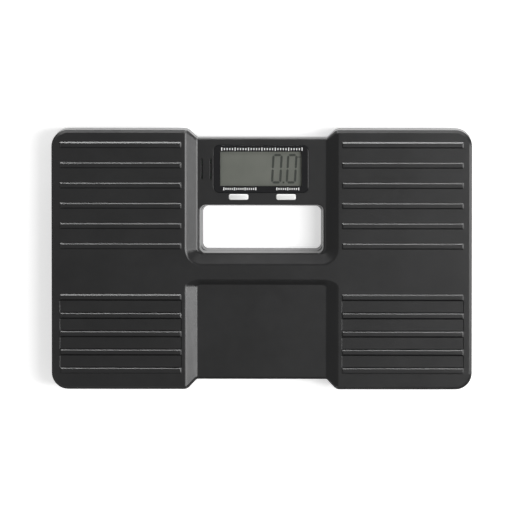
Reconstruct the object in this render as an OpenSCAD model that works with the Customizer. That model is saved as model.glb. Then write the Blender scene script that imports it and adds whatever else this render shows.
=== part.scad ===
// Portable platform scale with a carrying hole, lying on its four feet.
// The frame has +X to the user's right, +Y towards the display and +Z up.
// The origin is on the floor, under the middle of the case.

/* [Case] */
// Width of the case
body_w = 330; // [290:1:396]
// Length of the case, from the front edge to the display edge
body_l = 204; // [170:1:244]
// Height of the case, from its underside to the pads
body_h = 30; // [28:0.5:40]
// Height of the base shell, up to the joint with the cover
base_h = 12; // [11:0.5:14]
// Gap between the floor and the underside of the case
foot_drop = 4; // [3.5:0.1:6]
// Wall thickness of both shells
wall = 2.5; // [2:0.1:3]
// Radius of the outer corners
corner_r = 13; // [8:1:18]
// Width and height of the bevel around the pads
edge_bevel = 2; // [1:0.5:3]
// Width of the notch in each long edge, between its inner corners
notch_w = 102; // [96:1:116]
// Distance that each end of a notch slopes over
notch_slope = 7.5; // [5:0.5:12]
// Depth of the notch at the display edge
rear_notch = 6.9; // [4:0.1:9]
// Depth of the notch at the front edge
front_notch = 7.8; // [4:0.1:9]

/* [Wells] */
// Depth of the well that holds the display and the carrying hole
well_depth = 6; // [4:0.5:8]
// Depth of the plain well at the front
front_well_depth = 4; // [2:0.5:6]
// Horizontal width of the sloped sides of both wells
well_slope = 8.6; // [6:0.2:12]
// Width of the flat band between the two wells
land_w = 11.8; // [8:0.2:16]

/* [Grip ribs] */
// Number of ribs on each rear pad
rear_ribs = 6; // [3:1:6]
// Spacing of the ribs on the rear pads
rear_rib_pitch = 15.9; // [10:0.1:16]
// Number of ribs on each front pad
front_ribs = 5; // [3:1:5]
// Spacing of the ribs on the front pads
front_rib_pitch = 14.4; // [10:0.1:15]
// Width of a rib
rib_w = 4.9; // [3:0.1:7]
// Height of a rib
rib_h = 1; // [0.6:0.1:2]
// Depth of the pockets between the front ribs
rib_pocket = 0.6; // [0.3:0.1:1]

/* [Carrying hole] */
// Width of the carrying hole at the well floor
hole_w = 97; // [86:1:98]
// Length of the carrying hole at the well floor
hole_l = 37.7; // [30:0.1:42]
// Amount that each side of the hole draws in towards the underside
hole_draft = 2.15; // [1:0.05:3]
// Radius of the corners of the hole
hole_r = 4.5; // [3:0.5:8]

/* [Display] */
// Width of the display window
lens_w = 74.5; // [68:0.5:80]
// Length of the display window
lens_l = 37.2; // [34:0.1:38]
// Thickness of the display window
lens_t = 1.6; // [1.2:0.1:2]
// Width of the visible field of the display
view_w = 64; // [50:1:66]
// Length of the visible field of the display
view_l = 27.1; // [20:0.1:28]
// Thickness of the liquid crystal glass
glass_t = 2.2; // [1.6:0.1:2.8]
// Distance between the glass and the board
glass_lift = 4; // [3:0.1:5]
// Thickness of the main board
board_t = 1.6; // [1:0.2:2]

/* [Buttons] */
// Width of a button
button_w = 15.3; // [10:0.1:18]
// Length of a button
button_l = 4.4; // [3.5:0.1:5.5]
// Distance between the middles of the two buttons
button_pitch = 37.3; // [30:0.1:50]
// Height of a button above the well floor
button_lift = 0.8; // [0.6:0.1:1.2]
// Travel of a button
button_travel = 0.5; // [0.3:0.1:0.6]

/* [Feet and load cells] */
// Diameter of a foot cap
foot_d = 38; // [34:0.5:42]
// Distance of a foot's middle from the short edge
foot_inset_x = 31; // [30:0.5:44]
// Distance of a foot's middle from the long edge
foot_inset_y = 28; // [28:0.5:36]
// Diameter of a rubber pad
pad_d = 30; // [24:0.5:32]
// Thickness of a rubber pad
pad_t = 1.6; // [1.2:0.1:2.4]
// Side of the square load cell plate
cell_w = 28; // [24:0.5:30]
// Thickness of the steel of a load cell
cell_t = 2; // [1.5:0.1:2]

/* [Batteries] */
// Diameter of a battery
cell_d = 10.5; // [10.3:0.1:10.6]
// Length of a battery, without its button
cell_l = 43.5; // [43:0.1:44]
// Distance that the battery door slides before it lifts out
door_travel = 12; // [8:0.5:14]

/* [Hidden] */
$fn = 48;
flare_fn = 32;
arc_steps = 10;
eps = 0.01;

// Clearances: of a piece in its seat, of a moving piece and of a shell lip, then of a screw in the
// piece that it grips and in a piece that it passes through
seat_gap = 0.1;
move_gap = 0.3;
lip_gap = 0.15;
screw_gap = 0.05;
screw_pass = 0.2;

// Heights of the case
base_z = foot_drop;
floor_z = base_z + wall;
split_z = base_z + base_h;
pad_z = base_z + body_h;
well_z = pad_z - well_depth;
well_under = well_z - wall;
front_well_z = pad_z - front_well_depth;
lip_h = 2;
lip_t = 1.2;
stiffener_t = 1.6;
floor_rib_h = base_h - 4;
floor_rib_x = 30;

// Plan of the case, its wells and the carrying hole
half_w = body_w / 2;
half_l = body_l / 2;
rear_y = half_l - rear_notch;
front_y = -half_l + front_notch;
well_half = notch_w / 2;
well_top_half = well_half + well_slope;
display_y = rear_y - 24;
button_y = display_y - 22.1;
button_flange = 1.1;
flange_clear = 0.15;
hole_y = button_y - button_l / 2 - move_gap - button_flange - flange_clear - wall - hole_l / 2;
well_end_y = hole_y - hole_l / 2 - 0.4;
land_y = well_end_y - well_slope;
front_well_y = land_y - land_w;
front_well_slope = 4;
well_floor_r = 4;
well_top_r = 9.5;
beyond = 20;
notch_outer_r = 6;
notch_inner_r = 2;
hole_x = -0.2;

// Ribs on the pads
rib_x0 = well_top_half + 3.4;
rib_x1 = half_w - 5;
rear_rib_y = half_l - 9.4;
front_rib_y = -half_l + 12.3;
rib_bevel = 0.6;

// Display stack, downwards from the well floor
display_x = -0.6;
lens_lift = 0.1;
lens_r = 4.5;
lens_z = well_z + lens_lift - lens_t;
glass_w = view_w + 5;
glass_l = view_l + 5;
glass_z = well_under - glass_t;
board_top = glass_z - glass_lift;
board_z = board_top - board_t;
frame_wall = 1.5;
strip_w = 2;
strip_inset = 2.5;

// Main board, its bosses and the pieces on it
board_w = 98;
board_x = -1;
board_y0 = button_y - 3.1;
board_y1 = rear_y - wall - 1.6;
board_l = board_y1 - board_y0;
board_y = (board_y0 + board_y1) / 2;
board_hole_x = 44.5;
board_hole_y = board_l / 2 - 5;
board_screw_d = 1.8;
board_screw_grip = 4;
board_screw_head_d = 3.6;
board_screw_head_h = 1.4;
board_boss_d = 5;
switch_w = 6;
plunger_base = 3.2;
plunger_d = 3.2;
button_x = [-18.2, -18.2 + button_pitch];
button_r = 1.4;
button_flange_t = 1;
flange_z = well_under - button_flange_t - seat_gap;
slot_x = [-47, -40.1];
slot_w = 1.1;
slot_l = 16;
chip_d = 14;
chip_h = 1.4;
buzzer_d = 9.5;
buzzer_hole_d = 2;
buzzer_x = (slot_x[0] + slot_x[1]) / 2;
buzzer_h = well_under - board_top - 0.6;

// Case screws: the posts of the base shell meet the bosses of the cover
case_screw_d = 2.6;
post_d = 9;
boss_d = 7;
post_top = split_z - 2;
head_d = 5.6;
head_h = 2;
post_web = 3;
screw_l = 12;
outer_screw = [half_w - 15, 0];
inner_screw_x = well_top_half + 10.4;
inner_screw_y = half_l - 17.5;
case_screws_at = [
    for (side = [-1, 1]) [side * outer_screw[0], outer_screw[1]],
    for (side = [-1, 1], y = [-inner_screw_y, 0, inner_screw_y]) [side * inner_screw_x, y]
];

// Corners: the signs of X and Y
rear_left = [-1, 1];
rear_right = [1, 1];
front_left = [-1, -1];
front_right = [1, -1];
corners = [rear_left, rear_right, front_left, front_right];
foot_x = half_w - foot_inset_x;
foot_y = half_l - foot_inset_y;

// Foot pockets and the load cell in each of them
pocket_d = foot_d + 4;
pocket_wall = 2;
cell_rise = 2;
roof_z = split_z - 4;
roof_t = 2.5;
cell_frame_z = roof_z - cell_t;
tongue_z = cell_frame_z - cell_rise;
cell_arm = 4;
cell_open = cell_w - 2 * cell_arm;
tongue_w = 12;
tongue_hole_d = 4.2;
tongue_end = cell_open / 2 - 4;
cell_screw_d = 2;
cell_screw_l = 3.6;
cell_screw_head_d = 3.6;
cell_screw_head_h = 1.2;
gauge_l = 4;
gauge_w = 5;
gauge_t = 0.2;
cell_screw_y = cell_w / 2 - cell_arm / 2;
pillar_d = 20;
pillar_wall = 2;

// Foot cap and rubber pad
foot_travel = 0.5;
foot_z = 1;
pad_seat = pad_t - foot_z;
foot_top = base_z + 1;
foot_edge = 1.5;
foot_boss_d = 10;
pin_d = 3.6;
barb_d = 5.2;
barb_h = 0.7;
barb_z = tongue_z + cell_t + foot_travel + seat_gap;

// Leads from the load cells and the batteries to the board
lead_w = 3.6;
lead_t = 1.2;
lead_slot_gap = 0.2;
lead_out = pocket_d / 2 + pocket_wall + 0.5;
front_lead_x = well_half + 4;
lead_rise_x = board_w / 2 - 9;
battery_lead_w = 2.4;
battery_run = 1.6;
board_run_y = board_y0 + 10;
battery_rise = [34, board_y0 + 5];

// Battery box, its contacts and its door
bay_y = front_y + 43.7;
bay_w = cell_l + 11;
bay_l = 2 * cell_d + 4.4;
bay_wall = 1.8;
door_t = 1.8;
bay_z = base_z + door_t;
bay_roof = bay_z + cell_d + 0.8;
cell_pitch = cell_d + 1.9;
cell_z = bay_z + 0.4 + cell_d / 2;
spring_d = 6;
contact_t = 0.4;
contact_w = 8;
contact_tab_w = 3;
cell_tip = 0.8;
cell_tip_d = 3.8;
door_w = bay_w + 3.6;
door_l = bay_l + 4.6;
door_ring = 4;
door_ring_x = 3;
door_ring_y = 4;
grooves = 5;
groove_pitch = 3;
groove_w = 1.4;
groove_depth = 0.5;
tongue_t = 1.2;
tongue_l = 7;
tongue_reach = 1.5;
tongue_root = 1.5;
door_tongue_x = [-door_w / 2 + 7, 6];

// ---- Shared shapes ----

function unit(v) = v / norm(v);

// Points of the arc that rounds the corner "at" between two straight runs
function corner_arc(before, at, after, r) =
    let (
        a = unit(before - at),
        b = unit(after - at),
        half = acos(a * b) / 2,
        middle = at + unit(a + b) * r / sin(half),
        start = at + a * r / tan(half) - middle,
        turn = (180 - 2 * half) * sign(a[0] * b[1] - a[1] * b[0]) * -1
    )
    [
        for (i = [0:arc_steps])
            let (angle = turn * i / arc_steps)
                middle + [
                    start[0] * cos(angle) - start[1] * sin(angle),
                    start[0] * sin(angle) + start[1] * cos(angle)
                ]
    ];

// Outline with each corner rounded; each corner is [x, y, radius]
function rounded_outline(corners) = [
    for (i = [0:len(corners) - 1])
        let (
            n = len(corners),
            before = corners[(i + n - 1) % n],
            at = corners[i],
            after = corners[(i + 1) % n]
        )
            each corner_arc([before[0], before[1]], [at[0], at[1]], [after[0], after[1]], at[2])
];

// Plan of the case: a rectangle with a notch in each long edge
module case_plan(inset = 0) {
    outer_notch = well_half + notch_slope;
    offset(delta = -inset)
        polygon(rounded_outline([
            [half_w, half_l, corner_r],
            [outer_notch, half_l, notch_outer_r],
            [well_half, rear_y, notch_inner_r],
            [-well_half, rear_y, notch_inner_r],
            [-outer_notch, half_l, notch_outer_r],
            [-half_w, half_l, corner_r],
            [-half_w, -half_l, corner_r],
            [-outer_notch, -half_l, notch_outer_r],
            [-well_half, front_y, notch_inner_r],
            [well_half, front_y, notch_inner_r],
            [outer_notch, -half_l, notch_outer_r],
            [half_w, -half_l, corner_r]
        ]));
}

// Rectangle with rounded corners, around the origin
module rounded_rect(w, l, r) {
    square([w - 2 * r, l], center = true);
    square([w, l - 2 * r], center = true);
    for (x = [-1, 1], y = [-1, 1])
        translate([x * (w / 2 - r), y * (l / 2 - r)])
            circle(r);
}

module rounded_block(w, l, h, r) {
    linear_extrude(h)
        rounded_rect(w, l, r);
}

// Block around the origin, with its lower face at z = 0
module block(w, l, h) {
    translate([-w / 2, -l / 2, 0])
        cube([w, l, h]);
}

// Solid that spreads from a small rounded rectangle to a large one; each is [w, l, r]
module flared_block(lower, upper, h) {
    hull() {
        rounded_block(lower[0], lower[1], eps, lower[2], $fn = flare_fn);
        translate([0, 0, h - eps])
            rounded_block(upper[0], upper[1], eps, upper[2], $fn = flare_fn);
    }
}

// Space of the display well; grow makes the shell around it
module display_well(grow = 0, drop = 0) {
    run = rear_y + beyond - well_end_y;
    translate([0, well_end_y + run / 2, well_z - drop])
        flared_block(
            [2 * (well_half + grow), run + 2 * grow, well_floor_r],
            [2 * (well_top_half + grow), run + 2 * (well_slope + grow), well_top_r],
            well_depth + drop + (drop > 0 ? 0 : eps));
}

// Space of the plain front well; grow makes the shell around it
module front_well(grow = 0, drop = 0) {
    run = front_well_y - front_well_slope - front_y + beyond;
    translate([0, front_well_y - front_well_slope - run / 2, front_well_z - drop])
        flared_block(
            [2 * (well_half + grow), run + 2 * grow, well_floor_r],
            [2 * (well_top_half + grow), run + 2 * (front_well_slope + grow), well_top_r],
            front_well_depth + drop + (drop > 0 ? 0 : eps));
}

// Sides of the carrying hole between two heights; grow makes the sleeve around it
module carrying_hole(z0, z1, grow = 0) {
    drawn_in = 2 * hole_draft / (well_z - base_z);
    low = drawn_in * (well_z - z0) - 2 * grow;
    high = drawn_in * (well_z - z1) - 2 * grow;
    translate([hole_x, hole_y, z0])
        flared_block(
            [hole_w - low, hole_l - low, hole_r + grow],
            [hole_w - high, hole_l - high, hole_r + grow],
            z1 - z0);
}

// Puts its children at each corner's foot, with local +X towards the middle of the case
module at_corner(corner) {
    translate([corner[0] * foot_x, corner[1] * foot_y, 0])
        rotate(corner[0] > 0 ? 180 : 0)
            children();
}

module at_case_screws() {
    for (p = case_screws_at)
        translate([p[0], p[1], 0])
            children();
}

module at_board_screws() {
    for (x = [-1, 1], y = [-1, 1])
        translate([board_x + x * board_hole_x, board_y + y * board_hole_y, 0])
            children();
}

module at_cell_screws() {
    for (y = [-1, 1])
        translate([0, y * cell_screw_y, 0])
            children();
}

// ---- Shells ----

// Raised bars of one right-hand pad, first edge at y and counting downwards
module grip_ribs(first_y, count, pitch, gap_depth) {
    for (i = [0:count - 1])
        translate([rib_x0, first_y - i * pitch, pad_z - gap_depth - eps])
            rotate([90, 0, 90])
                linear_extrude(rib_x1 - rib_x0)
                    polygon([
                        [0, 0],
                        [0, gap_depth + rib_h - rib_bevel],
                        [-rib_bevel, gap_depth + rib_h + eps],
                        [-rib_w + rib_bevel, gap_depth + rib_h + eps],
                        [-rib_w, gap_depth + rib_h - rib_bevel],
                        [-rib_w, 0]
                    ]);
}

// Hanging grid that stiffens the cover under the pads
module cover_grid() {
    depth = 5;
    columns = 4;
    inner_x = well_top_half + 4;
    for (side = [-1, 1], i = [0:columns - 1])
        translate([
            side * (inner_screw_x + i * (rib_x1 - inner_screw_x) / columns), 0, pad_z - wall - depth
        ])
            block(stiffener_t, body_l, depth + eps);
    for (side = [-1, 1], i = [-2:2])
        translate([side * (inner_x + half_w) / 2, i * half_l / 3, pad_z - wall - depth])
            block(half_w - inner_x, stiffener_t, depth + eps);
}

module top_cover() {
    first_front_rib = front_rib_y + (front_ribs - 1) * front_rib_pitch + rib_w;
    pocket_l = front_rib_pitch - rib_w;
    color("#2b2b2d")
        difference() {
            union() {
                difference() {
                    union() {
                        translate([0, 0, split_z])
                            linear_extrude(pad_z - edge_bevel - split_z)
                                case_plan();
                        translate([0, 0, pad_z - edge_bevel])
                            linear_extrude(edge_bevel, slices = 1,
                                scale = [1 - 2 * edge_bevel / body_w, 1 - 2 * edge_bevel / body_l])
                                case_plan();
                    }
                    difference() {
                        translate([0, 0, split_z - eps])
                            linear_extrude(pad_z - wall - split_z + eps)
                                case_plan(wall);
                        display_well(wall / 2, wall);
                        front_well(wall / 2, wall);
                        carrying_hole(split_z - 2 * eps, well_z, wall);
                        cover_grid();
                    }
                    display_well();
                    front_well();
                    for (side = [0, 1], i = [0:front_ribs - 2])
                        mirror([side, 0, 0])
                            translate([
                                rib_x0,
                                first_front_rib - rib_w - i * front_rib_pitch - pocket_l,
                                pad_z - rib_pocket
                            ])
                                cube([rib_x1 - rib_x0, pocket_l, rib_pocket + eps]);
                }
                for (side = [0, 1])
                    mirror([side, 0, 0]) {
                        grip_ribs(rear_rib_y, rear_ribs, rear_rib_pitch, 0);
                        grip_ribs(first_front_rib, front_ribs, front_rib_pitch, rib_pocket);
                    }
                at_case_screws()
                    translate([0, 0, post_top])
                        cylinder(d = boss_d, h = pad_z - wall - post_top + eps);
                at_board_screws()
                    translate([0, 0, board_top])
                        cylinder(d = board_boss_d, h = well_under - board_top + eps);
                for (corner = corners)
                    at_corner(corner)
                        translate([0, 0, roof_z + roof_t])
                            difference() {
                                cylinder(d = pillar_d, h = pad_z - wall - roof_z - roof_t + eps);
                                translate([0, 0, -eps])
                                    cylinder(d = pillar_d - 2 * pillar_wall, h = body_h);
                            }
            }
            carrying_hole(split_z - 2 * eps, well_z + eps);
            at_case_screws()
                translate([0, 0, post_top - eps])
                    cylinder(d = case_screw_d + 2 * screw_gap, h = screw_l);
            at_board_screws()
                translate([0, 0, board_top - eps])
                    cylinder(d = board_screw_d + 2 * screw_gap, h = board_screw_grip + 1);
            translate([display_x, display_y, lens_z])
                rounded_block(lens_w + 2 * seat_gap, lens_l + 2 * seat_gap, lens_t + eps, lens_r + seat_gap);
            translate([display_x, display_y, well_under - eps])
                block(view_w + 2, view_l + 2, wall);
            for (x = button_x)
                translate([x, button_y, well_under - eps])
                    rounded_block(
                        button_w + 2 * move_gap, button_l + 2 * move_gap, wall + 1, button_r + move_gap);
            for (x = slot_x)
                translate([x, display_y, well_under - eps])
                    rounded_block(slot_w, slot_l, wall + 1, slot_w / 2 - eps);
        }
}

// Wall and roof around one foot, open towards the floor
module foot_pocket() {
    cylinder(d = pocket_d + 2 * pocket_wall, h = roof_z + roof_t - base_z);
}

module foot_pocket_space() {
    translate([0, 0, -eps])
        cylinder(d = pocket_d, h = roof_z - base_z + eps);
    translate([0, 0, roof_z - base_z - eps])
        at_cell_screws()
            cylinder(d = cell_screw_d + 2 * screw_gap, h = cell_screw_l + eps);
    translate([0, -lead_w / 2 - lead_slot_gap, cell_frame_z - lead_t - lead_slot_gap - base_z])
        cube([lead_out, lead_w + 2 * lead_slot_gap, lead_t + 2 * lead_slot_gap]);
}

// Grooves and lip openings in which the door's tongues slide
module door_track() {
    reach = door_l / 2 + tongue_reach + move_gap;
    root = door_l / 2 - tongue_root - move_gap;
    for (side = [0, 1], x = door_tongue_x)
        mirror([0, side, 0]) {
            translate([x - move_gap, root, door_t - eps])
                cube([tongue_l + door_travel + 2 * move_gap, reach - root, tongue_t + move_gap + eps]);
            translate([x + door_travel - move_gap, root, -eps])
                cube([tongue_l + 2 * move_gap, reach - root, door_t + 2 * eps]);
        }
}

module base_shell() {
    color("#262628")
        difference() {
            union() {
                difference() {
                    union() {
                        translate([0, 0, base_z])
                            linear_extrude(base_h)
                                case_plan();
                        translate([0, 0, split_z - eps])
                            linear_extrude(lip_h + eps)
                                case_plan(wall + lip_gap);
                    }
                    translate([0, 0, floor_z])
                        linear_extrude(base_h + lip_h)
                            case_plan(wall + lip_gap + lip_t);
                }
                carrying_hole(base_z, split_z, wall);
                for (corner = corners)
                    at_corner(corner)
                        translate([0, 0, base_z])
                            foot_pocket();
                at_case_screws()
                    translate([0, 0, base_z])
                        cylinder(d = post_d, h = post_top - base_z);
                for (side = [-1, 1]) {
                    translate([side * (outer_screw[0] + inner_screw_x) / 2, 0, base_z])
                        block(outer_screw[0] - inner_screw_x, stiffener_t, floor_rib_h);
                    translate([side * (inner_screw_x + floor_rib_x), 0, base_z])
                        block(stiffener_t, half_l / 2, floor_rib_h);
                }
                translate([0, bay_y, base_z])
                    block(bay_w + 2 * bay_wall, bay_l + 2 * bay_wall, bay_roof + bay_wall - base_z);
                translate([door_travel / 2, bay_y, base_z])
                    block(door_w + door_travel + 2 * door_ring_x, door_l + 2 * door_ring_y, door_ring);
            }
            carrying_hole(base_z - eps, split_z + eps);
            for (corner = corners)
                at_corner(corner)
                    translate([0, 0, base_z])
                        foot_pocket_space();
            at_case_screws() {
                translate([0, 0, base_z - eps])
                    cylinder(d = head_d + 2 * move_gap, h = post_top - post_web - base_z + eps);
                cylinder(d = case_screw_d + 2 * screw_pass, h = split_z);
            }
            translate([0, bay_y, bay_z - eps])
                block(bay_w, bay_l, bay_roof - bay_z + eps);
            translate([door_travel / 2, bay_y, base_z - eps])
                block(door_w + door_travel + 2 * move_gap, door_l + 2 * move_gap, door_t + eps);
            translate([0, bay_y, base_z])
                door_track();
        }
}

// ---- Display ----

module display_lens() {
    color("#15161a")
        translate([display_x, display_y, lens_z])
            rounded_block(lens_w, lens_l, lens_t, lens_r);
}

module lcd_glass() {
    color("#7d7f78")
        translate([display_x, display_y, glass_z])
            block(glass_w, glass_l, glass_t);
}

// Tray that locates the glass and the two connector strips on the board
module lcd_frame() {
    color("white")
        translate([display_x, display_y, board_top])
            difference() {
                block(
                    glass_w + 2 * (frame_wall + seat_gap),
                    glass_l + 2 * (frame_wall + seat_gap),
                    glass_lift + glass_t);
                translate([0, 0, glass_lift])
                    block(glass_w + 2 * seat_gap, glass_l + 2 * seat_gap, glass_t + eps);
                for (side = [-1, 1])
                    translate([0, side * (glass_l / 2 - strip_inset), -eps])
                        block(view_w - 2 + 2 * seat_gap, strip_w + 2 * seat_gap, glass_lift + 2 * eps);
            }
}

module lcd_connector_strips() {
    color("#c88a96")
        for (side = [-1, 1])
            translate([display_x, display_y + side * (glass_l / 2 - strip_inset), board_top])
                block(view_w - 2, strip_w, glass_lift);
}

// ---- Electronics ----

module main_board() {
    color("#1f6b3a")
        difference() {
            translate([board_x, board_y, board_z])
                block(board_w, board_l, board_t);
            at_board_screws()
                translate([0, 0, board_z - eps])
                    cylinder(d = board_screw_d + 2 * screw_pass, h = board_t + 2 * eps);
        }
}

module controller_chip() {
    color("#141414")
        translate([board_x, board_y, board_z - chip_h])
            cylinder(d = chip_d, h = chip_h);
}

module buzzer() {
    color("#1c1c1e")
        translate([buzzer_x, display_y, board_top])
            difference() {
                cylinder(d = buzzer_d, h = buzzer_h);
                translate([0, 0, buzzer_h - 1])
                    cylinder(d = buzzer_hole_d, h = 1 + eps);
            }
}

// Key cap through the well floor, with a flange that keeps it in the cover
module button_cap(x) {
    color("#f2f2f2")
        translate([x, button_y, flange_z]) {
            rounded_block(button_w, button_l, well_z + button_lift - flange_z, button_r);
            rounded_block(
                button_w + 2 * (move_gap + button_flange), button_l + 2 * (move_gap + button_flange),
                button_flange_t, button_r);
        }
}

module switch_body(x) {
    color("#3a3a3c")
        translate([x, button_y, board_top])
            block(switch_w, switch_w, plunger_base - button_travel);
}

module switch_plunger(x) {
    base = board_top + plunger_base;
    color("#b8b4a8")
        translate([x, button_y, base])
            cylinder(d = plunger_d, h = flange_z - base);
}

// ---- Corners ----

// Stamped steel plate: a frame with a tongue that the foot bends upwards
module load_cell(corner) {
    color("#b9bcc0")
        at_corner(corner) {
            difference() {
                translate([0, 0, cell_frame_z])
                    block(cell_w, cell_w, cell_t);
                translate([0, 0, cell_frame_z - eps])
                    block(cell_open, cell_open, cell_t + 2 * eps);
                at_cell_screws()
                    translate([0, 0, cell_frame_z - eps])
                        cylinder(d = cell_screw_d + 2 * screw_pass, h = cell_t + 2 * eps);
            }
            translate([-cell_open / 2 - eps, -tongue_w / 2, tongue_z])
                cube([cell_t + eps, tongue_w, cell_rise + cell_t]);
            difference() {
                translate([-cell_open / 2, -tongue_w / 2, tongue_z])
                    cube([cell_open / 2 + tongue_end, tongue_w, cell_t]);
                translate([0, 0, tongue_z - eps])
                    cylinder(d = tongue_hole_d, h = cell_t + 2 * eps);
            }
        }
}

module strain_gauges() {
    color("#d9a441")
        for (corner = corners)
            at_corner(corner)
                translate([-cell_open / 2 + cell_t + move_gap, -gauge_w / 2, tongue_z + cell_t])
                    cube([gauge_l, gauge_w, gauge_t]);
}

module load_cell_screws() {
    color("#a8aaad")
        for (corner = corners)
            at_corner(corner)
                at_cell_screws() {
                    translate([0, 0, cell_frame_z])
                        cylinder(d = cell_screw_d, h = cell_screw_l);
                    translate([0, 0, cell_frame_z - cell_screw_head_h])
                        cylinder(d = cell_screw_head_d, h = cell_screw_head_h);
                }
}

// Round cap under the load cell, clipped into the hole of its tongue
module foot(corner) {
    color("#232325")
        at_corner(corner)
            rotate_extrude()
                polygon([
                    [0, foot_z + pad_seat],
                    [pad_d / 2 + screw_gap, foot_z + pad_seat],
                    [pad_d / 2 + screw_gap, foot_z],
                    [foot_d / 2 - foot_edge, foot_z],
                    [foot_d / 2, foot_z + foot_edge],
                    [foot_d / 2, foot_top],
                    [foot_boss_d / 2, foot_top],
                    [foot_boss_d / 2, tongue_z],
                    [pin_d / 2, tongue_z],
                    [pin_d / 2, barb_z],
                    [barb_d / 2, barb_z],
                    [0, barb_z + barb_h]
                ]);
}

module foot_pad(corner) {
    color("#3b3b3b")
        at_corner(corner)
            cylinder(d = pad_d, h = pad_t);
}

// ---- Leads ----

// Flat cable in axis-parallel runs; each run is [corner of the box, size of the box]
module ribbon(runs) {
    for (run = runs)
        translate(run[0])
            cube(run[1]);
}

// Lead of one load cell, from its tongue over the floor to the underside of the board.
// It is laid out for the right-hand side and mirrored for the left.
module sensor_lead(corner) {
    high_z = cell_frame_z - lead_t;
    out_x = foot_x - lead_out;
    cell_y = corner[1] * foot_y;
    rise = board_z - floor_z;
    rear = corner[1] > 0;
    turn_x = rear ? lead_rise_x : front_lead_x;
    at_y = cell_y - lead_w / 2;
    color("#a33a32") {
        at_corner(corner)
            translate([tongue_end, -lead_w / 2, high_z])
                cube([lead_out - tongue_end + lead_t, lead_w, lead_t]);
        mirror([corner[0] > 0 ? 0 : 1, 0, 0]) {
            ribbon([
                [[out_x - lead_t, at_y, floor_z], [lead_t, lead_w, high_z + lead_t - floor_z]],
                [[turn_x, at_y, floor_z], [out_x - turn_x, lead_w, lead_t]]
            ]);
            if (rear)
                ribbon([[[turn_x, at_y, floor_z], [lead_t, lead_w, rise]]]);
            else
                ribbon([
                    [[turn_x, at_y, floor_z], [lead_w, board_run_y + lead_w - at_y, lead_t]],
                    [[lead_rise_x, board_run_y, floor_z], [turn_x + lead_w - lead_rise_x, lead_w, lead_t]],
                    [[lead_rise_x, board_run_y, floor_z], [lead_t, lead_w, rise]]
                ]);
        }
    }
}

module battery_lead() {
    box_x = bay_w / 2 + bay_wall;
    run_x = well_half + battery_run;
    run_y = bay_y + bay_l / 2 - battery_lead_w;
    rise_x = battery_rise[0];
    rise_y = battery_rise[1];
    lead_z = base_z + door_ring;
    color("#222224")
        ribbon([
            [[box_x, run_y, lead_z], [run_x + battery_lead_w - box_x, battery_lead_w, lead_t]],
            [[run_x, run_y, lead_z], [battery_lead_w, rise_y - run_y + battery_lead_w, lead_t]],
            [[rise_x, rise_y, lead_z], [run_x + battery_lead_w - rise_x, battery_lead_w, lead_t]],
            [[rise_x, rise_y, lead_z], [lead_t, battery_lead_w, board_z - lead_z]]
        ]);
}

// ---- Batteries ----

module battery(side) {
    color("#5b6f86")
        translate([-cell_l / 2, bay_y + side * cell_pitch / 2, cell_z])
            rotate([0, 90, 0]) {
                cylinder(d = cell_d, h = cell_l);
                translate([0, 0, side > 0 ? cell_l - eps : -cell_tip])
                    cylinder(d = cell_tip_d, h = cell_tip + eps);
            }
}

// Coil at the flat end of each battery, as its outer envelope, on a contact plate
module battery_springs() {
    color("#c9c9c4")
        for (side = [-1, 1])
            translate([0, bay_y + side * cell_pitch / 2, cell_z])
                rotate([0, 90, side > 0 ? 180 : 0]) {
                    translate([0, 0, cell_l / 2])
                        cylinder(d = spring_d, h = bay_w / 2 - cell_l / 2 - contact_t);
                    translate([0, 0, bay_w / 2 - contact_t])
                        block(contact_w, contact_w, contact_t);
                }
}

module battery_plates() {
    color("#c9c9c4")
        for (side = [-1, 1])
            translate([0, bay_y + side * cell_pitch / 2, cell_z])
                rotate([0, 90, side > 0 ? 0 : 180]) {
                    translate([0, 0, cell_l / 2 + cell_tip])
                        block(contact_w, contact_w, contact_t);
                    translate([0, 0, cell_l / 2 + cell_tip + contact_t - eps])
                        block(contact_tab_w, contact_w, bay_w / 2 - cell_l / 2 - cell_tip - contact_t + eps);
                }
}

// Sliding door with four tongues and shallow finger grooves
module battery_door() {
    color("#262628")
        translate([0, bay_y, base_z])
            difference() {
                union() {
                    block(door_w, door_l, door_t);
                    for (side = [0, 1], x = door_tongue_x)
                        mirror([0, side, 0])
                            translate([x, door_l / 2 - tongue_root, door_t - eps])
                                cube([tongue_l, tongue_root + tongue_reach, tongue_t]);
                }
                for (i = [0:grooves - 1])
                    translate([-door_w / 2 + (2 + i) * groove_pitch, 0, -eps])
                        block(groove_w, door_l / 2, groove_depth);
            }
}

// ---- Screws ----

module board_screws() {
    color("#a8aaad")
        at_board_screws() {
            translate([0, 0, board_z])
                cylinder(d = board_screw_d, h = board_t + board_screw_grip);
            translate([0, 0, board_z - board_screw_head_h])
                cylinder(d = board_screw_head_d, h = board_screw_head_h);
        }
}

module case_screws() {
    color("#a8aaad")
        at_case_screws() {
            translate([0, 0, post_top - post_web])
                cylinder(d = case_screw_d, h = screw_l);
            translate([0, 0, post_top - post_web - head_h])
                cylinder(d = head_d, h = head_h);
        }
}

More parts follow.
